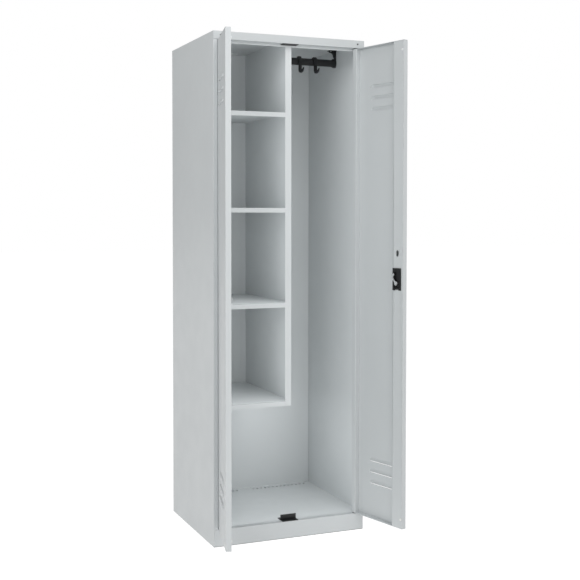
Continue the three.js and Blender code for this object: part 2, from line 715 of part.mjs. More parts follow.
function addRail() {
  place('hanging_rail', hangingRail(), black);
  place('rail_bracket_left', railBracket(railStart, 1), black);
  place('rail_bracket_right', railBracket(railEnd, -1), black);
  bracketScrewPoints().forEach(([x, y], i) => {
    const screw = place(`rail_screw_${i + 1}`, screwGeometry(BRACKET_PLATE + SHEET + 2 * GAP), zinc);
    screw.rotation.x = Math.PI;
    screw.position.set(x, y, ceiling - 2 * GAP - BRACKET_PLATE);
  });
}

// Coat hook: a saddle over the rail, a shank down its front and an upturned nose.
function coatHook() {
  const half = HOOK_THICK / 2;
  const front = RAIL_DEPTH - RAIL_THICK / 2 - HOOK_PLAY - half;
  const back = RAIL_DEPTH + RAIL_THICK / 2 + HOOK_PLAY + half;
  const top = railZ + RAIL_TALL / 2 + HOOK_PLAY + half;
  const bottom = railZ - RAIL_TALL / 2 - HOOK_DROP;
  const saddle = new THREE.Vector2(RAIL_DEPTH, top - (back - front) / 2);
  const line = [new THREE.Vector2(back, railZ - RAIL_TALL / 4)];
  line.push(...arcPoints(saddle, (back - front) / 2, 0, Math.PI, SADDLE_STEPS));
  const elbow = new THREE.Vector2(front - HOOK_BEND, bottom + HOOK_BEND + half);
  line.push(...arcPoints(elbow, HOOK_BEND, 0, -Math.PI / 2, ELBOW_STEPS));
  const foot = line.pop();
  const tip = new THREE.Vector2(front - HOOK_REACH, foot.y + HOOK_NOSE);
  const nose = new THREE.QuadraticBezierCurve(foot, new THREE.Vector2(tip.x + HOOK_BEND, foot.y), tip);
  line.push(...nose.getPoints(ELBOW_STEPS));
  const hook = solid(alongX(band(line, HOOK_THICK), -HOOK_WIDTH / 2, HOOK_WIDTH / 2));
  return cut(hook, noseWedge(-1, front, tip, bottom), noseWedge(1, front, tip, bottom));
}

// Cutting tool that narrows one side of a hook's nose towards its tip.
function noseWedge(side, front, tip, bottom) {
  const shape = new THREE.Shape();
  shape.moveTo(side * (HOOK_WIDTH / 2), front - HOOK_BEND);
  shape.lineTo(side * (HOOK_TIP_WIDTH / 2), tip.x + HOOK_THICK);
  shape.lineTo(side * (HOOK_TIP_WIDTH / 2), tip.x - BEYOND);
  shape.lineTo(side * (HOOK_WIDTH / 2 + BEYOND), tip.x - BEYOND);
  shape.lineTo(side * (HOOK_WIDTH / 2 + BEYOND), front - HOOK_BEND);
  return alongZ(shape, bottom - BEYOND, tip.y + BEYOND);
}

function addHooks() {
  const right = halfWidth - SHEET - HOOK_FROM_WALL;
  [right - HOOK_SPACING, right].forEach((x, i) => {
    place(`coat_hook_${i + 1}`, coatHook(), black).position.x = x;
  });
}

// ---------------------------------------------------------------- doors
function louvreEdges() {
  const rows = Array.from({ length: LOUVRE_COUNT }, (_, i) => i * LOUVRE_PITCH);
  return [
    ...rows.map((step) => doorTop - LOUVRE_TOP - step),
    ...rows.map((step) => doorBottom + LOUVRE_BOTTOM + step),
  ];
}

function bulge(shrink, x, z) {
  const straight = (LOUVRE_LENGTH - 2 * LOUVRE_END) / (LOUVRE_END - shrink);
  const capsule = new THREE.CapsuleGeometry(1, straight, LOUVRE_STEPS, ROUND_STEPS).rotateZ(Math.PI / 2);
  return capsule.scale(LOUVRE_END - shrink, LOUVRE_BULGE - shrink, LOUVRE_HEIGHT - shrink).translate(x, 0, z);
}

// Presses one hooded louvre out of the skin, open along its straight lower edge.
function pressLouvre(skin, x, z) {
  const lower = box(x - LOUVRE_LENGTH, x + LOUVRE_LENGTH, -BEYOND * 4, BEYOND * 4, z - LOUVRE_HEIGHT * 2, z);
  const behind = box(
    x - LOUVRE_LENGTH, x + LOUVRE_LENGTH, SHEET / 2, BEYOND * 4, z - BEYOND, z + LOUVRE_HEIGHT * 2,
  );
  const inner = cut(solid(bulge(SHEET, x, z)), lower);
  const hood = cut(solid(bulge(0, x, z)), lower, behind).subtract(inner);
  return skin.subtract(inner).add(hood);
}

// A door is a shallow tray. `side` is -1 for the left door and 1 for the right one.
function doorPanel(side) {
  const middle = SHEET / 2;
  const fold = bentStrip([
    [side * (doorHinge - DOOR_RETURN + middle), SHEET + GAP],
    [side * (doorHinge - DOOR_RETURN + middle), DOOR_DEPTH - middle],
    [side * (doorHinge - middle), DOOR_DEPTH - middle],
    [side * (doorHinge - middle), middle],
    [side * (DOOR_MEETING + middle), middle],
    [side * (DOOR_MEETING + middle), DOOR_DEPTH],
  ]);
  const inner = DOOR_MEETING + SHEET / 2;
  const outer = doorHinge - SHEET / 2;
  const [x0, x1] = side > 0 ? [inner, outer] : [-outer, -inner];
  const ends = [doorBottom, doorTop - SHEET].map((z) => box(x0, x1, SHEET / 2, DOOR_DEPTH, z, z + SHEET));
  let panel = join(solid(alongZ(fold, doorBottom, doorTop)), ...ends);
  const middleX = side * ((DOOR_MEETING + doorHinge) / 2 - LOUVRE_ASIDE);
  for (const z of louvreEdges()) {
    panel = pressLouvre(panel, middleX, z);
  }
  const holes = [doorBottom, doorTop].flatMap((z) => pinHoles(z - BEYOND, z + BEYOND));
  return cut(panel, ...holes);
}

// Folded stiffener inside the tray: its web starts at the free edge's wall, flush with it.
function doorChannel(side) {
  const middle = SHEET / 2;
  const web = DOOR_DEPTH - middle;
  const fold = bentStrip([
    [side * (DOOR_MEETING + SHEET + GAP), web],
    [side * (channelEnd - middle), web],
    [side * (channelEnd - middle), SHEET + GAP],
  ]);
  return solid(alongZ(fold, doorBottom + SHEET + GAP, doorTop - SHEET - GAP));
}

function bumper(x, z) {
  return crossBar(BUMPER_R, DOOR_DEPTH + GAP, DOOR_DEPTH + GAP + BUMPER_THICK, x, z);
}

// A group whose children are drawn with the door shut and shown swung open about the pivot.
function doorGroup(side) {
  const swing = new THREE.Group();
  swing.position.set(side * pivotX, pivotY, 0);
  swing.rotation.z = side * openAngle;
  const shut = new THREE.Group();
  shut.position.set(-side * pivotX, -pivotY, 0);
  swing.add(shut);
  cabinet.add(swing);
  return shut;
}

function addBumpers(word, side, door) {
  const x = side * (DOOR_MEETING + SHEET + BUMPER_R);
  place(`${word}_lower_bumper`, bumper(x, doorBottom + BUMPER_INSET), rubber, door);
  place(`${word}_upper_bumper`, bumper(x, doorTop - BUMPER_INSET), rubber, door);
}

function addLeftDoor() {
  const door = doorGroup(-1);
  place('left_door_panel', doorPanel(-1), lightGrey, door);
  place('left_door_channel', doorChannel(-1), lightGrey, door);
  addBumpers('left', -1, door);
  const edge = -DOOR_MEETING - SHEET;
  const seat = DOOR_DEPTH + GAP + SHEET / 2;
  const low = KEEPER_HEIGHT - KEEPER_TALL / 2;
  const keeper = bentStrip([
    [edge - KEEPER_WIDE, seat],
    [edge - KEEPER_NOSE, seat],
    [edge - KEEPER_NOSE / 2, seat + KEEPER_RISE - SHEET / 2],
    [edge, seat + KEEPER_RISE - SHEET / 2],
  ], SHEET, SHEET / 2);
  place('left_door_keeper', alongZ(keeper, low, low + KEEPER_TALL), lightGrey, door);
}

// ---------------------------------------------------------------- lock on the right door
// Housing in a window of the channel: a rim on the web, a pocket for the latch, open at its foot.
function lockBody() {
  const rim = box(lockLeft, lockRight, DOOR_DEPTH + GAP, lockBack, lockLow, lockHigh);
  const core = box(
    lockLeft + LOCK_NECK, lockRight - LOCK_NECK, lockFront, lockBack - LOCK_RIM / 2,
    lockLow + LOCK_NECK, lockHigh - LOCK_NECK,
  );
  const pocket = box(
    lockLeft + LOCK_WALL, lockRight - LOCK_WALL, DOOR_DEPTH - POCKET_DEPTH, lockBack + BEYOND,
    lockLow + POCKET_LOW, lockHigh - POCKET_HIGH,
  );
  const middle = (lockLeft + lockRight) / 2;
  const notch = box(
    middle - NOTCH_WIDE / 2, middle + NOTCH_WIDE / 2, lockFront - BEYOND, lockBack + BEYOND,
    lockLow - BEYOND, lockLow + NOTCH_TALL,
  );
  const screws = lockScrewPoints().map(([x, z]) => throughLock(SCREW_R + GAP, x, z));
  const spindle = throughLock(SPINDLE_R + GAP, spindleX, LOCK_HEIGHT);
  return cut(join(solid(rim), core), pocket, notch, spindle, ...screws);
}

function throughLock(radius, x, z) {
  return crossBar(radius, lockFront - BEYOND, lockBack + BEYOND, x, z);
}

function lockScrewPoints() {
  const middle = (lockLeft + lockRight) / 2;
  return [-1, 1].map((way) => [middle + (way * LOCK_SCREWS_APART) / 2, lockHigh - LOCK_SCREW_DROP]);
}

function lockWindow() {
  const neck = LOCK_NECK - GAP;
  const [y0, y1] = [DOOR_DEPTH - BEYOND, DOOR_DEPTH + BEYOND];
  return box(lockLeft + neck, lockRight - neck, y0, y1, lockLow + neck, lockHigh - neck);
}

// The same flat outline stood up against the door, its long side vertical, from y0 back to y1.
function uprightSlot(length, width, y0, y1, x, z) {
  const shape = slotOutline(0, 0, length, width);
  return extrude(shape, y1 - y0).rotateX(Math.PI / 2).rotateY(Math.PI / 2).translate(x, y1, z);
}

function rightChannel() {
  const middle = DOOR_MEETING + CHANNEL_WIDTH / 2;
  const window = uprightSlot(
    WINDOW_TALL, WINDOW_WIDE, DOOR_DEPTH - BEYOND, DOOR_DEPTH + BEYOND, middle + WINDOW_ASIDE, WINDOW_HEIGHT,
  );
  return cut(doorChannel(1), lockWindow(), window);
}

// Crank inside the door: spindle, disc, and two pins that drive the rods.
function rodCrank() {
  const discBack = ROD_FRONT - GAP - CRANK_SPACE;
  const disc = crossBar(CRANK_R, discBack - CRANK_PLATE, discBack, spindleX, LOCK_HEIGHT);
  const spindle = crossBar(
    SPINDLE_R - SPINDLE_PLAY, knobBase - KNOB_SOCKET + GAP, leverFront - GAP, spindleX, LOCK_HEIGHT,
  );
  const across = CRANK_THROW * Math.SQRT1_2;
  const pinBack = rodBack + ROD_PLAY - GAP;
  const pins = [1, -1].map((way) => crossBar(
    CRANK_PIN_R, discBack - CRANK_PLATE / 2, pinBack, spindleX + way * across, LOCK_HEIGHT - way * across,
  ));
  return join(solid(disc), spindle, ...pins);
}

// Fork mouth in a rod's end plate: the pin slides across it while the plate goes straight up or down.
function pinSlot(way) {
  const half = CRANK_PIN_R + PIN_SLOT_PLAY;
  const ends = [spindleX + way * (SPINDLE_R - PIN_SLOT_PLAY), spindleX + way * (CRANK_THROW + half)];
  const z = LOCK_HEIGHT - way * CRANK_THROW * Math.SQRT1_2;
  return box(Math.min(...ends), Math.max(...ends), ROD_FRONT - BEYOND, rodBack + BEYOND, z - half, z + half);
}

// Upper rod: end plate beside the spindle, a bridge over it, and the bar up to the door's top.
function upperRod() {
  const plateStart = spindleX + SPINDLE_R + GAP;
  const plateEnd = spindleX + forkReach + CRANK_PIN_R;
  const bridgeLow = LOCK_HEIGHT + CRANK_THROW * 2;
  const bridgeHigh = bridgeLow + ROD_BRIDGE;
  const left = rodX - ROD_WIDTH / 2;
  const plate = box(plateStart, plateEnd, ROD_FRONT, rodBack, LOCK_HEIGHT - forkReach, bridgeHigh);
  const bridge = box(left, plateStart + ROD_THICK, ROD_FRONT, rodBack, bridgeLow, bridgeHigh);
  const bar = box(left, left + ROD_WIDTH, ROD_FRONT, rodBack, bridgeLow, doorTop - SHEET / 2);
  return cut(join(solid(plate), bridge, bar), pinSlot(1));
}

// Lower rod: the same below the spindle, with its plate on the other side.
function lowerRod() {
  const plateEnd = spindleX - SPINDLE_R - GAP;
  const plateLow = LOCK_HEIGHT - CRANK_THROW * 2 - ROD_BRIDGE;
  const left = rodX - ROD_WIDTH / 2;
  const plate = box(left, plateEnd, ROD_FRONT, rodBack, plateLow, LOCK_HEIGHT + forkReach);
  const bar = box(left, left + ROD_WIDTH, ROD_FRONT, rodBack, doorBottom + SHEET / 2, plateLow + ROD_THICK);
  return cut(join(solid(plate), bar), pinSlot(-1));
}

// Bridge-shaped guide on the inside of the door skin that keeps a rod in line.
function rodGuide(z) {
  const middle = GUIDE_THICK / 2;
  const leg = ROD_WIDTH / 2 + ROD_PLAY + middle;
  const foot = SHEET + GAP + middle;
  const over = rodBack + ROD_PLAY + middle;
  const strap = bentStrip([
    [rodX - leg - GUIDE_FOOT, foot],
    [rodX - leg, foot],
    [rodX - leg, over],
    [rodX + leg, over],
    [rodX + leg, foot],
    [rodX + leg + GUIDE_FOOT, foot],
  ], GUIDE_THICK, GUIDE_THICK / 3);
  return alongZ(strap, z - GUIDE_TALL / 2, z + GUIDE_TALL / 2);
}

// Silver latch lever on the spindle's inner end, curved like a sickle.
function latchLever() {
  const leverBack = leverFront + LEVER_THICK;
  const hub = crossBar(LEVER_HUB_R, leverFront, leverBack, spindleX, LOCK_HEIGHT);
  const bow = new THREE.SplineCurve([
    new THREE.Vector2(0, 0),
    new THREE.Vector2(LEVER_BULGE, LEVER_BULGE_RISE),
    new THREE.Vector2(LEVER_TIP, LEVER_RISE),
  ]);
  const arm = band(bow.getPoints(LEVER_STEPS), LEVER_WIDTH);
  const blade = alongY(arm, leverFront, leverBack).translate(spindleX, 0, LOCK_HEIGHT);
  const bore = crossBar(SCREW_R + GAP, leverFront - BEYOND, leverBack + BEYOND, spindleX, LOCK_HEIGHT);
  return cut(join(solid(hub), blade), bore);
}

// Outer plate under the turn knob.
function escutcheon() {
  const plate = uprightSlot(
    ESCUTCHEON_LONG, ESCUTCHEON_WIDE, -ESCUTCHEON_THICK - GAP, -GAP, spindleX, LOCK_HEIGHT,
  );
  const bore = crossBar(SPINDLE_R + GAP, knobBase - BEYOND, BEYOND, spindleX, LOCK_HEIGHT);
  return cut(solid(plate), bore);
}

// Turn knob: a round foot with a wing across it, seated on the spindle and bored for the key cylinder.
function turnKnob() {
  const boss = crossBar(BOSS_R, knobBase - BOSS, knobBase, spindleX, LOCK_HEIGHT);
  const wing = uprightSlot(WING_LONG, WING_WIDE, knobFace, knobBase - BOSS + LAP, spindleX, LOCK_HEIGHT);
  const socket = crossBar(SPINDLE_R + GAP, knobBase - KNOB_SOCKET, BEYOND, spindleX, LOCK_HEIGHT);
  const keyBore = crossBar(
    CYLINDER_R + GAP, knobFace - BEYOND, knobFace + CYLINDER_SEAT, spindleX, LOCK_HEIGHT,
  );
  return cut(join(solid(boss), wing), socket, keyBore);
}

function lockCylinder() {
  const face = knobFace - CYLINDER_PROUD;
  const barrel = crossBar(CYLINDER_R, face, knobFace + CYLINDER_SEAT - GAP, spindleX, LOCK_HEIGHT);
  const half = KEYWAY_WIDE / 2;
  const keyway = box(
    spindleX - half, spindleX + half, face - BEYOND, face + KEYWAY_DEPTH,
    LOCK_HEIGHT - KEYWAY_TALL / 2, LOCK_HEIGHT + KEYWAY_TALL / 2,
  );
  return cut(solid(barrel), keyway);
}

function spindleHole() {
  return crossBar(SPINDLE_R + GAP, -BEYOND, SHEET + BEYOND, spindleX, LOCK_HEIGHT);
}

function addRightDoor() {
  const door = doorGroup(1);
  place('right_door_panel', cut(doorPanel(1), spindleHole(), ...rodSlots()), lightGrey, door);
  place('right_door_channel', rightChannel(), lightGrey, door);
  addBumpers('right', 1, door);
  place('lock_body', lockBody(), black, door);
  place('lock_escutcheon', escutcheon(), black, door);
  place('turn_knob', turnKnob(), black, door);
  place('lock_cylinder', lockCylinder(), zinc, door);
  place('rod_crank', rodCrank(), zinc, door);
  place('latch_lever', latchLever(), zinc, door);
  place('upper_rod', upperRod(), zinc, door);
  place('lower_rod', lowerRod(), zinc, door);
  place('upper_rod_guide', rodGuide((LOCK_HEIGHT + doorTop) / 2), zinc, door);
  place('lower_rod_guide', rodGuide((LOCK_HEIGHT + doorBottom) / 2), zinc, door);
  const latchScrew = place('latch_screw', screwGeometry(LEVER_THICK - GAP), zinc, door);
  latchScrew.rotation.x = -Math.PI / 2;
  latchScrew.position.set(spindleX, leverFront + LEVER_THICK + GAP, LOCK_HEIGHT);
  lockScrewPoints().forEach(([x, z], i) => {
    const screw = place(`lock_screw_${i + 1}`, screwGeometry(LOCK_SCREW), black, door);
    screw.rotation.x = -Math.PI / 2;
    screw.position.set(x, lockBack + GAP, z);
  });
}

// Holes for the rods in the top and bottom walls of the right door.
function rodSlots() {
  return [rodHole(doorBottom - BEYOND, doorBottom + BEYOND), rodHole(doorTop - BEYOND, doorTop + BEYOND)];
}

// ---------------------------------------------------------------- assembly
place('left_side_panel', sidePanel(-1), lightGrey);
place('right_side_panel', sidePanel(1), lightGrey);
place('back_panel', backPanel(), lightGrey);
place('top_panel', topPanel(), lightGrey);
place('base_panel', basePanel(), lightGrey);
place('divider_panel', dividerPanel(), lightGrey);
for (let i = 0; i < SHELF_COUNT; i += 1) {
  const extra = i === 0 ? 0 : LOWEST_BAY_EXTRA;
  place(`shelf_${i + 1}`, shelf(LOWEST_SHELF + extra + i * shelfPitch), lightGrey);
}
addRail();
addHooks();
addCatches();
addPivots();
addPlugs();
addLeftDoor();
addRightDoor();

// The origin is the middle of the flange under the plinth, on the floor.
cabinet.position.y = -FLOOR_FLANGE / 2;

export default cabinet;
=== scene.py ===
"""Two-door steel utility locker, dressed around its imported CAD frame. Metres, +Z up, front towards -Y."""
import json
import math

import bmesh
import bpy
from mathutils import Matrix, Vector


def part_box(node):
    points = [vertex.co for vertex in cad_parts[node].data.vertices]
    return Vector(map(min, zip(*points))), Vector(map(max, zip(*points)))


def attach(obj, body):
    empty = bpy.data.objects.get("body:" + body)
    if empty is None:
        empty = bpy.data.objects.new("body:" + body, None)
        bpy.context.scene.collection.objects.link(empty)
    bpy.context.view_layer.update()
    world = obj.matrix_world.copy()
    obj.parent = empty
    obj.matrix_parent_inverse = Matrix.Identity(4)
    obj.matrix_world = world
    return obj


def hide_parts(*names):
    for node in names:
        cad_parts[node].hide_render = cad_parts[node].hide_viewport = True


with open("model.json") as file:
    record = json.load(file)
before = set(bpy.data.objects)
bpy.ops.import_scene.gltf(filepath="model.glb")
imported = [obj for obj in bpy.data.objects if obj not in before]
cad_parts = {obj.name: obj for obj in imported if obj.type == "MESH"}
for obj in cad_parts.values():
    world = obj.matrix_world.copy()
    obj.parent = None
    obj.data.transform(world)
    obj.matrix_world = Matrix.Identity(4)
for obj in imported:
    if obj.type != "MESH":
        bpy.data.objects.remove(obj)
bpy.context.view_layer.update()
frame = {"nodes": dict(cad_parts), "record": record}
NODES = frame["nodes"]
SLOT_OF = {part["node"]: part["material_slot"] for part in frame["record"]["subparts"]}
MM = 0.001
WHITE = (1.0, 1.0, 1.0, 1.0)


# ---------------------------------------------------------------- camera
CAMERA_PLACE = (-1.509, -3.482, 1.194)
CAMERA_YAW = 22.055  # degrees to the right of straight ahead
CAMERA_PITCH = 1.882  # degrees down
CAMERA_LENS = 63.95  # mm, as the sensor
SENSOR = 36.0
CAMERA_SHIFT = (0.0431, -0.07)


def add_camera():
    data = bpy.data.cameras.new("camera")
    data.lens = CAMERA_LENS
    data.sensor_width = SENSOR
    data.shift_x, data.shift_y = CAMERA_SHIFT
    data.dof.use_dof = False
    camera = bpy.data.objects.new("camera", data)
    camera.location = CAMERA_PLACE
    camera.rotation_euler = (math.radians(90 - CAMERA_PITCH), 0, math.radians(-CAMERA_YAW))
    bpy.context.scene.collection.objects.link(camera)
    bpy.context.scene.camera = camera


# ---------------------------------------------------------------- studio: room, lights and floor
ROOM_LIGHT = 0.2  # what the surroundings give to surfaces
BACKDROP = 1.0  # what the camera sees behind the cabinet

STUDIO_LIGHTS = {
    "key": {"place": (0.4, -4.6, 4.4), "target": (0, 0, 0.9), "size": (3.5, 3.5), "power": 80},
    "overhead": {"place": (0.0, -1.4, 4.8), "target": (0, -0.6, 0), "size": (4.0, 4.0), "power": 45},
    "left_fill": {"place": (-3.0, -2.4, 2.9), "target": (-0.3, 0, 1.4), "size": (1.8, 1.8), "power": 58},
}

INNER_FILL_Y = 18 * MM  # just behind the front edges of the shelves and the divider
FRONT_FILL_Y = 11.5 * MM  # just before them
BAY_GLOW = 1.05  # radiance of each upright fill
LOWER_GLOW = 0.45
HANGING_GLOW = 0.36
FRONT_GLOW = 0.22
FLOOR_FILL_POWER = 0.26
FLOOR_FILL_Y = 0.27
FLOOR_FILL_SIZE = (0.22, 0.25)

FLOOR_Z = -0.5 * MM
FLOOR_REACH = 30.0
FLOOR_ROUGHNESS = 0.9
# painted shade: the floor under the cabinet is near black and gives no glow
UNDER_SHADE_COLOUR = (0.01, 0.01, 0.01)
UNDER_GLOW = 0.0
PALE_COLOUR = (0.15, 0.15, 0.15)
PALE_GLOW = 0.975


def add_room():
    """Even room light, with a white backdrop behind everything."""
    world = bpy.data.worlds.new("studio")
    world.use_nodes = True
    tree = world.node_tree
    background = tree.nodes["Background"]
    background.inputs["Color"].default_value = WHITE
    level = tree.nodes.new("ShaderNodeMapRange")
    level.inputs["To Min"].default_value = ROOM_LIGHT
    level.inputs["To Max"].default_value = BACKDROP
    seen = tree.nodes.new("ShaderNodeLightPath").outputs["Is Camera Ray"]
    tree.links.new(seen, level.inputs["Value"])
    tree.links.new(level.outputs["Result"], background.inputs["Strength"])
    bpy.context.scene.world = world
    bpy.context.scene.view_settings.view_transform = "Standard"


def add_area_light(name, place, target, size, power):
    """A soft light, as wide and high as `size` says, that the camera doesn't see."""
    data = bpy.data.lights.new(name, "AREA")
    data.shape = "RECTANGLE"
    data.size, data.size_y = size
    data.energy = power
    light = bpy.data.objects.new(name, data)
    light.location = place
    aim = Vector(target) - Vector(place)
    light.rotation_euler = aim.to_track_quat("-Z", "Y").to_euler()
    light.visible_camera = False
    bpy.context.scene.collection.objects.link(light)
    return light


def add_upright_fill(name, x0, x1, z0, z1, glow, y):
    """A faint upright sheet of light that faces the back and leaves no highlights."""
    middle = Vector(((x0 + x1) / 2, y, (z0 + z1) / 2))
    size = (x1 - x0, z1 - z0)
    power = glow * math.pi * size[0] * size[1]
    light = add_area_light(name, middle, middle + Vector((0, 1, 0)), size, power)
    light.visible_glossy = False


def add_floor_fill(height):
    """A small light that shines down on the cabinet's own floor from `height`."""
    place = Vector((0, FLOOR_FILL_Y, height))
    down = place - Vector((0, 0, 1))
    light = add_area_light("floor_fill", place, down, FLOOR_FILL_SIZE, FLOOR_FILL_POWER)
    light.visible_glossy = False


def add_inside_lights():
    """Upright fills in the open front of the body, and one light over its floor."""
    left, right = (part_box("back_panel")[side].x for side in (0, 1))
    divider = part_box("divider_panel")[0].x
    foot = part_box("divider_panel")[0].z
    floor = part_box("bottom_catch")[0].z
    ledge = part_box("top_catch")[0].z
    add_upright_fill("bay_fill", left, divider, foot, ledge, BAY_GLOW, INNER_FILL_Y)
    add_upright_fill("lower_fill", left, divider, floor, foot, LOWER_GLOW, INNER_FILL_Y)
    add_upright_fill("hanging_fill", divider, right, floor, ledge, HANGING_GLOW, INNER_FILL_Y)
    add_upright_fill("front_fill", left, right, floor, ledge, FRONT_GLOW, FRONT_FILL_Y)
    add_floor_fill(foot)


def floor_material(name, colour, glow):
    material = new_material(name, colour, FLOOR_ROUGHNESS, 0.0)
    shader = material.node_tree.nodes["Principled BSDF"]
    shader.inputs["Emission Color"].default_value = WHITE
    shader.inputs["Emission Strength"].default_value = glow
    return material


def rectangle(x0, y0, x1, y1):
    return [(x0, y0), (x1, y0), (x1, y1), (x0, y1)]


def add_floor():
    """Pale glowing floor whose middle, under the cabinet, is painted near black without glow, as painted
    shade.
    """
    mesh = bpy.data.meshes.new("studio_floor")
    floor = bpy.data.objects.new("studio_floor", mesh)
    bpy.context.scene.collection.objects.link(floor)
    low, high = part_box("base_panel")
    inner = rectangle(low.x, low.y, high.x, high.y)
    outer = rectangle(-FLOOR_REACH, -FLOOR_REACH, FLOOR_REACH, FLOOR_REACH)
    points = [(x, y, FLOOR_Z) for x, y in inner + outer]
    middle = (0, 1, 2, 3)
    rim = [(i, i + 4, (i + 1) % 4 + 4, (i + 1) % 4) for i in range(4)]
    mesh.from_pydata(points, [], [middle] + rim)
    mesh.materials.append(floor_material("floor_under_painted_shade", UNDER_SHADE_COLOUR, UNDER_GLOW))
    mesh.materials.append(floor_material("floor_pale", PALE_COLOUR, PALE_GLOW))
    for polygon in mesh.polygons:
        polygon.material_index = 0 if polygon.index == 0 else 1


def add_studio():
    add_room()
    for name, settings in STUDIO_LIGHTS.items():
        add_area_light(name, **settings)
    add_inside_lights()
    add_floor()


# ---------------------------------------------------------------- materials
MIX_FIRST = 6  # the colour sockets of a Mix node, by number
MIX_SECOND = 7
MIX_RESULT = 2


def new_material(name, colour, roughness, metallic):
    material = bpy.data.materials.new(name)
    material.use_nodes = True
    shader = material.node_tree.nodes["Principled BSDF"]
    shader.inputs["Base Color"].default_value = (*colour, 1)
    shader.inputs["Roughness"].default_value = roughness
    shader.inputs["Metallic"].default_value = metallic
    return material


class Surface:
    """Small helper that adds nodes to a principled material."""

    def __init__(self, name, colour, roughness, metallic=0.0):
        self.material = new_material(name, colour, roughness, metallic)
        self.tree = self.material.node_tree
        self.shader = self.tree.nodes["Principled BSDF"]
        self.place = self.tree.nodes.new("ShaderNodeTexCoord").outputs["Object"]

    def noise(self, scale, detail=3.0, roughness=0.5, stretch=None):
        """Noise with `scale` features to the metre; a small number in `stretch` draws that axis out."""
        node = self.tree.nodes.new("ShaderNodeTexNoise")
        node.inputs["Scale"].default_value = scale
        node.inputs["Detail"].default_value = detail
        node.inputs["Roughness"].default_value = roughness
        place = self.place
        if stretch:
            mapping = self.tree.nodes.new("ShaderNodeMapping")
            mapping.inputs["Scale"].default_value = stretch
            self.tree.links.new(place, mapping.inputs["Vector"])
            place = mapping.outputs["Vector"]
        self.tree.links.new(place, node.inputs["Vector"])
        return node.outputs["Fac"]

    def spread(self, value, low, high, start=0.35, end=0.65):
        """Maps the middle of a noise, between start and end, onto low to high."""
        node = self.tree.nodes.new("ShaderNodeMapRange")
        node.inputs["From Min"].default_value = start
        node.inputs["From Max"].default_value = end
        node.inputs["To Min"].default_value = low
        node.inputs["To Max"].default_value = high
        self.tree.links.new(value, node.inputs["Value"])
        return node.outputs["Result"]

    def blend(self, factor, first, second):
        """Mixes two colours, each a tuple or another node's output."""
        node = self.tree.nodes.new("ShaderNodeMix")
        node.data_type = "RGBA"
        self.tree.links.new(factor, node.inputs["Factor"])
        for socket, value in ((node.inputs[MIX_FIRST], first), (node.inputs[MIX_SECOND], second)):
            if isinstance(value, tuple):
                socket.default_value = (*value, 1)
            else:
                self.tree.links.new(value, socket)
        return node.outputs[MIX_RESULT]

    def set(self, socket, value):
        self.tree.links.new(value, self.shader.inputs[socket])

    def mottle(self, tone, first, second):
        """Base colour that wanders between two colours with the noise `tone`."""
        self.set("Base Color", self.blend(self.spread(tone, 0.0, 1.0), first, second))

    def bump(self, height, distance, strength):
        """Adds relief on top of any earlier one."""
        node = self.tree.nodes.new("ShaderNodeBump")
        node.inputs["Strength"].default_value = strength
        node.inputs["Distance"].default_value = distance
        self.tree.links.new(height, node.inputs["Height"])
        before = self.shader.inputs["Normal"].links
        if before:
            self.tree.links.new(before[0].from_socket, node.inputs["Normal"])
        self.tree.links.new(node.outputs["Normal"], self.shader.inputs["Normal"])


SPECK_LIFT = 1.05  # how much lighter the fine specks of a powder coat are
GLOSS_BELOW = 0.04  # how far its roughness wanders to either side
GLOSS_ABOVE = 0.05


def powder_coat(name, light, dark, roughness):
    """Baked powder coat: fine orange peel, a faint cloudiness and slightly uneven gloss."""
    surface = Surface(name, light, roughness)
    cloud = surface.noise(scale=3.5, detail=4.0, roughness=0.55)
    speck = surface.noise(scale=900.0, detail=2.0, roughness=0.6)
    tone = surface.blend(surface.spread(cloud, 0.0, 1.0), light, dark)
    lifted = tuple(min(1.0, channel * SPECK_LIFT) for channel in light)
    specks = surface.spread(speck, low=0.0, high=0.35, start=0.45, end=0.75)
    surface.set("Base Color", surface.blend(specks, tone, lifted))
    gloss = surface.noise(scale=14.0)
    surface.set("Roughness", surface.spread(gloss, roughness - GLOSS_BELOW, roughness + GLOSS_ABOVE))
    surface.bump(surface.noise(scale=420.0, detail=2.0), distance=0.12 * MM, strength=0.35)
    surface.bump(surface.noise(scale=28.0, detail=2.0), distance=0.4 * MM, strength=0.12)
    surface.shader.inputs["Coat Weight"].default_value = 0.12
    surface.shader.inputs["Coat Roughness"].default_value = 0.25
    return surface.material


def moulded_plastic():
    """Black plastic with a fine moulded grain."""
    surface = Surface("moulded_black_plastic", (0.016, 0.017, 0.018), roughness=0.45)
    grain = surface.noise(scale=650.0, roughness=0.6)
    surface.mottle(surface.noise(scale=30.0), (0.007, 0.008, 0.009), (0.012, 0.013, 0.014))
    surface.set("Roughness", surface.spread(grain, low=0.38, high=0.55))
    surface.bump(grain, distance=0.1 * MM, strength=0.35)
    return surface.material


def zinc_plate():
    """Bright zinc: a faint spangle and fine upright brush marks."""
    surface = Surface("bright_zinc_plate", (0.62, 0.63, 0.64), roughness=0.28, metallic=1.0)
    spangle = surface.noise(scale=160.0, roughness=0.6)
    brushed = surface.noise(scale=260.0, detail=2.0, stretch=(1.0, 1.0, 0.06))
    surface.mottle(spangle, (0.74, 0.75, 0.76), (0.86, 0.865, 0.86))
    surface.set("Roughness", surface.spread(brushed, low=0.32, high=0.48))
    surface.bump(brushed, distance=0.06 * MM, strength=0.3)
    return surface.material


def milky_rubber():
    """Pale rubber that lets a little light in."""
    surface = Surface("milky_rubber", (0.80, 0.81, 0.80), roughness=0.5)
    surface.mottle(surface.noise(scale=220.0, detail=2.0), (0.74, 0.75, 0.75), (0.84, 0.85, 0.84))
    surface.bump(surface.noise(scale=900.0, detail=2.0), distance=0.05 * MM, strength=0.3)
    surface.shader.inputs["Subsurface Weight"].default_value = 0.15
    surface.shader.inputs["Subsurface Scale"].default_value = 2 * MM
    return surface.material


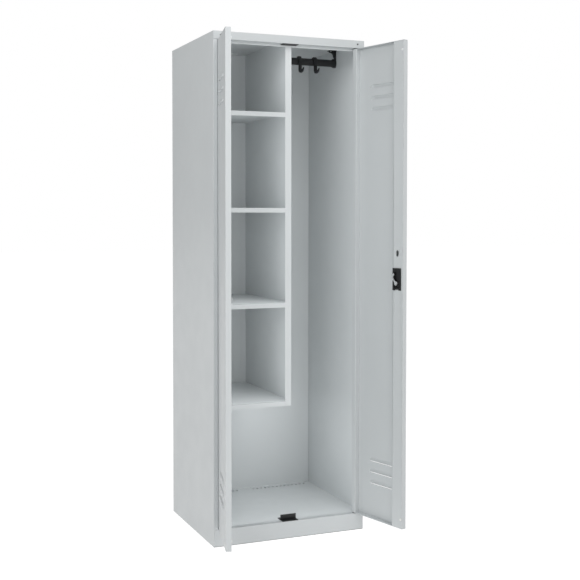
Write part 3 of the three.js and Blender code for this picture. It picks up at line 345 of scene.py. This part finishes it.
GREY_COAT = {"light": (0.585, 0.612, 0.62), "dark": (0.57, 0.597, 0.606), "roughness": 0.42}
BLACK_COAT = {"light": (0.009, 0.010, 0.011), "dark": (0.006, 0.007, 0.008), "roughness": 0.48}

MATERIALS = {
    "light_grey_powder_coat": powder_coat("light_grey_powder_coat", **GREY_COAT),
    "black_powder_coat": powder_coat("black_powder_coat", **BLACK_COAT),
    "black_plastic": moulded_plastic(),
    "zinc_plated_steel": zinc_plate(),
    "clear_rubber": milky_rubber(),
}


# ---------------------------------------------------------------- finishing the CAD nodes
SMOOTH_ANGLE = 38.0  # degrees: folds sharper than this keep a crisp line
MERGE_ANGLE = 1.0
BEVEL_FROM_ANGLE = 50.0
BEVEL_SEGMENTS = 2
SHEET_ROUNDING = 0.3 * MM
BRACKET_ROUNDING = 0.9 * MM
BUMPER_ROUNDING = 0.7 * MM

ROUNDING = {
    "turn_knob": 1.6 * MM,
    "lock_escutcheon": 1.2 * MM,
    "latch_lever": 0.5 * MM,
    "lock_cylinder": 0.4 * MM,
}
for side in ("left", "right"):
    ROUNDING[f"rail_bracket_{side}"] = BRACKET_ROUNDING
    for level in ("lower", "upper"):
        ROUNDING[f"{side}_{level}_bumper"] = BUMPER_ROUNDING


def smooth(piece):
    """Smooth shading that stops at the hard edges."""
    for polygon in piece.data.polygons:
        polygon.use_smooth = True
    edges = piece.modifiers.new("sharp_edges", "EDGE_SPLIT")
    edges.split_angle = math.radians(SMOOTH_ANGLE)


def soften(piece, width):
    """Joins coplanar facets, rounds the hard edges and smooths the shading of folds."""
    joined = piece.modifiers.new("join_facets", "DECIMATE")
    joined.decimate_type = "DISSOLVE"
    joined.angle_limit = math.radians(MERGE_ANGLE)
    bevel = piece.modifiers.new("round_edges", "BEVEL")
    bevel.width = width
    bevel.segments = BEVEL_SEGMENTS
    bevel.limit_method = "ANGLE"
    bevel.angle_limit = math.radians(BEVEL_FROM_ANGLE)
    bevel.use_clamp_overlap = True
    bevel.harden_normals = False
    smooth(piece)


def dress_cad_nodes():
    for name, node in NODES.items():
        node.data.materials.clear()
        node.data.materials.append(MATERIALS[SLOT_OF[name]])
        soften(node, ROUNDING.get(name, SHEET_ROUNDING))


# ---------------------------------------------------------------- coat hooks
HOOK_THICK = 6 * MM
HOOK_PLAY = 0.8 * MM  # between a hook's saddle and the rail
HOOK_BEND = 7 * MM
HOOK_NOSE = 13 * MM  # how far the tip rises above the middle of the foot
SADDLE_WIDTH = 14 * MM
SHANK_WIDTH = 14 * MM
TIP_WIDTH = 5 * MM
FOOT_THICK = 11 * MM
TIP_THICK = 3 * MM
CORNER_SHARE = 0.42  # corner radius as a share of the thickness
CORNER_STEPS = 4
ARC_STEPS = 20
NOSE_STEPS = 12


def section(width, thickness):
    """Outline of a rounded rectangle as (across, off) pairs."""
    radius = CORNER_SHARE * thickness
    points = []
    for corner, (right, up) in enumerate(((1, 1), (-1, 1), (-1, -1), (1, -1))):
        for step in range(CORNER_STEPS + 1):
            angle = math.radians(90 * (corner + step / CORNER_STEPS))
            across = right * (width / 2 - radius) + radius * math.cos(angle)
            off = up * (thickness / 2 - radius) + radius * math.sin(angle)
            points.append((across, off))
    return points


def sweep(name, x, line, widths, thicknesses):
    """A bar of changing rounded section along a line of (y, z) points in the plane at x."""
    mesh = bmesh.new()
    rings = []
    for i, point in enumerate(line):
        ahead = (line[min(i + 1, len(line) - 1)] - line[max(i - 1, 0)]).normalized()
        aside = Vector((-ahead.y, ahead.x))
        ring = []
        for across, off in section(widths[i], thicknesses[i]):
            ring.append(mesh.verts.new((x + across, point.x + aside.x * off, point.y + aside.y * off)))
        rings.append(ring)
    for first, second in zip(rings, rings[1:]):
        for k in range(len(first)):
            following = (k + 1) % len(first)
            mesh.faces.new((first[k], first[following], second[following], second[k]))
    mesh.faces.new(rings[0])
    mesh.faces.new(rings[-1])
    bmesh.ops.recalc_face_normals(mesh, faces=mesh.faces)
    data = bpy.data.meshes.new(name)
    mesh.to_mesh(data)
    mesh.free()
    piece = bpy.data.objects.new(name, data)
    bpy.context.scene.collection.objects.link(piece)
    return piece


def arc(centre, radius, start, end, steps):
    angles = [start + (end - start) * k / steps for k in range(steps + 1)]
    return [centre + radius * Vector((math.cos(angle), math.sin(angle))) for angle in angles]


def ramp(start, end, shares):
    return [start + (end - start) * share for share in shares]


def hook_line(hook_low, rail_low, rail_high):
    """Middle line of a hook: over the rail, down its front and out to the upturned tip."""
    half = HOOK_THICK / 2
    front = rail_low.y - HOOK_PLAY - half
    back = rail_high.y + HOOK_PLAY + half
    radius = (back - front) / 2
    saddle = Vector(((front + back) / 2, rail_high.z + HOOK_PLAY + half - radius))
    behind = Vector((back, (rail_low.z + rail_high.z) / 2 - HOOK_BEND))
    elbow = Vector((front - HOOK_BEND, hook_low.z + FOOT_THICK / 2 + HOOK_BEND))
    saddle_part = [behind] + arc(saddle, radius, 0, math.pi, ARC_STEPS)
    shank_part = arc(elbow, HOOK_BEND, 0, -math.pi / 2, NOSE_STEPS)
    foot = shank_part[-1]
    tip = Vector((hook_low.y + TIP_THICK / 2, foot.y + HOOK_NOSE))
    pull = Vector((tip.x + HOOK_BEND, foot.y))
    nose_part = []
    for k in range(1, NOSE_STEPS + 1):
        t = k / NOSE_STEPS
        nose_part.append(foot * (1 - t) ** 2 + pull * (2 * t * (1 - t)) + tip * t ** 2)
    return saddle_part, shank_part, nose_part


def add_hook(node, body):
    """A smooth moulded hook in the place of a CAD hook: broad at the foot, slim at the tip."""
    hook_low, hook_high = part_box(node)
    rail_low, rail_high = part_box("hanging_rail")
    saddle, shank, nose = hook_line(hook_low, rail_low, rail_high)
    along_shank = [k / (len(shank) - 1) for k in range(len(shank))]
    along_nose = [(k + 1) / len(nose) for k in range(len(nose))]
    widths = [SADDLE_WIDTH] * len(saddle) + [SHANK_WIDTH] * len(shank)
    widths += ramp(SHANK_WIDTH, TIP_WIDTH, along_nose)
    thicknesses = [HOOK_THICK] * len(saddle)
    thicknesses += ramp(HOOK_THICK, FOOT_THICK, along_shank)
    thicknesses += ramp(FOOT_THICK, TIP_THICK, along_nose)
    x = (hook_low.x + hook_high.x) / 2
    piece = sweep(node + "_smooth", x, saddle + shank + nose, widths, thicknesses)
    piece.data.materials.append(MATERIALS["black_plastic"])
    smooth(piece)
    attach(piece, body)
    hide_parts(node)


def add_hooks():
    add_hook("coat_hook_1", "left_hook")
    add_hook("coat_hook_2", "right_hook")


add_camera()
add_studio()
dress_cad_nodes()
add_hooks()
